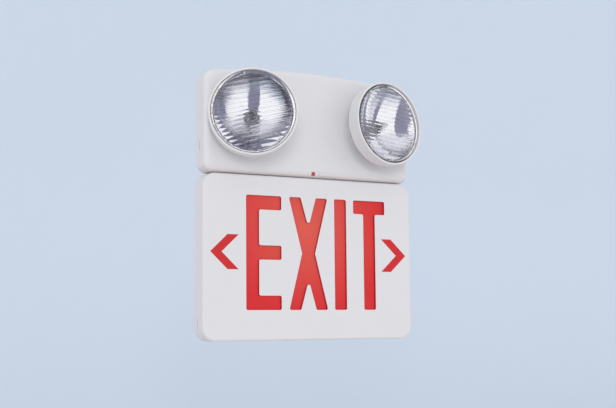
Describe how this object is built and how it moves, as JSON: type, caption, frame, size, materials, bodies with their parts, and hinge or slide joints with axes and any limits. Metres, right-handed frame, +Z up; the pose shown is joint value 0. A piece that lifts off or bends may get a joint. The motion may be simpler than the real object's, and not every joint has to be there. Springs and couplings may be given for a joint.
{
  "type": "emergency exit light",
  "caption": "Slim wall exit light: arched lamp box with two swivelling round lamp heads over a red-lettered stencil sign box.",
  "frame": {"origin": "centre of the two junction box holes, on the back plane that lies against the wall", "axes": "+Z up, +X to the right seen from the front, +Y into the wall; the fronts face -Y"},
  "size_m": [0.3251, 0.0936, 0.3676],
  "materials": {
    "housing_white": "moulded, satin",
    "cover_white": "moulded, fine satin texture",
    "head_white": "moulded, satin",
    "button_white": "moulded, satin",
    "panel_red": "translucent red acrylic",
    "chevron_red": "translucent red acrylic",
    "indicator_red": "translucent red",
    "chip_red": "clear red",
    "board_green": "solder masked laminate",
    "terminal_green": "moulded",
    "battery_wrap": "shrink wrapped cells",
    "strap_steel": "zinc plated",
    "screw_steel": "zinc plated",
    "pin_steel": "ground",
    "core_steel": "laminated core with taped winding",
    "part_black": "moulded",
    "reflector_bright": "vacuum metallised",
    "holder_pale": "moulded",
    "bulb_glass": "clear glass",
    "lens_clear": "clear, fluted"
  },
  "bodies": {
    "root": {"back_plate": "housing_white", "lamp_cover": "cover_white", "sign_cover": "cover_white", "red_panel": "panel_red", "chevron_insert_left": "chevron_red", "chevron_insert_right": "chevron_red", "light_strip_top": "board_green", "light_strip_bottom": "board_green", "light_chips_top": "chip_red", "light_chips_bottom": "chip_red", "battery_pack": "battery_wrap", "battery_strap": "strap_steel", "strap_screws": "screw_steel", "charger_board": "board_green", "board_screws": "screw_steel", "transformer": "core_steel", "relay": "part_black", "capacitor": "part_black", "terminal_block": "terminal_green", "indicator_lens": "indicator_red", "indicator_led": "indicator_red", "test_switch": "part_black"},
    "button": {"test_button": "button_white", "switch_plunger": "part_black"},
    "collar_left": {"swivel_collar_left": "housing_white", "collar_clip_left": "strap_steel", "tilt_pin_left": "pin_steel"},
    "head_left": {"lamp_housing_left": "head_white", "reflector_left": "reflector_bright", "lamp_holder_left": "holder_pale", "bulb_left": "bulb_glass", "lens_left": "lens_clear"},
    "collar_right": {"swivel_collar_right": "housing_white", "collar_clip_right": "strap_steel", "tilt_pin_right": "pin_steel"},
    "head_right": {"lamp_housing_right": "head_white", "reflector_right": "reflector_bright", "lamp_holder_right": "holder_pale", "bulb_right": "bulb_glass", "lens_right": "lens_clear"}
  },
  "joints": [
    {"name": "test_button_press", "type": "slide", "parent": "root", "child": "button", "axis": [0, 1, 0], "range_m": [0, 0.0015], "stiffness_N_per_m": 400, "springref_m": -0.001},
    {"name": "swivel_left", "type": "hinge", "parent": "root", "child": "collar_left", "pos_m": [-0.0921, -0.028, 0.1837], "axis": [0, -1, 0], "range_deg": [-154, 176]},
    {"name": "tilt_left", "type": "hinge", "parent": "collar_left", "child": "head_left", "pos_m": [-0.0921, -0.028, 0.1837], "axis": [0.1908, 0, 0.9816], "range_deg": [-0.6, 45.4]},
    {"name": "swivel_right", "type": "hinge", "parent": "root", "child": "collar_right", "pos_m": [0.0921, -0.028, 0.1837], "axis": [0, -1, 0], "range_deg": [-191, 139]},
    {"name": "tilt_right", "type": "hinge", "parent": "collar_right", "child": "head_right", "pos_m": [0.0921, -0.028, 0.1837], "axis": [-0.4384, 0, 0.8988], "range_deg": [-33, 13]}
  ]
}
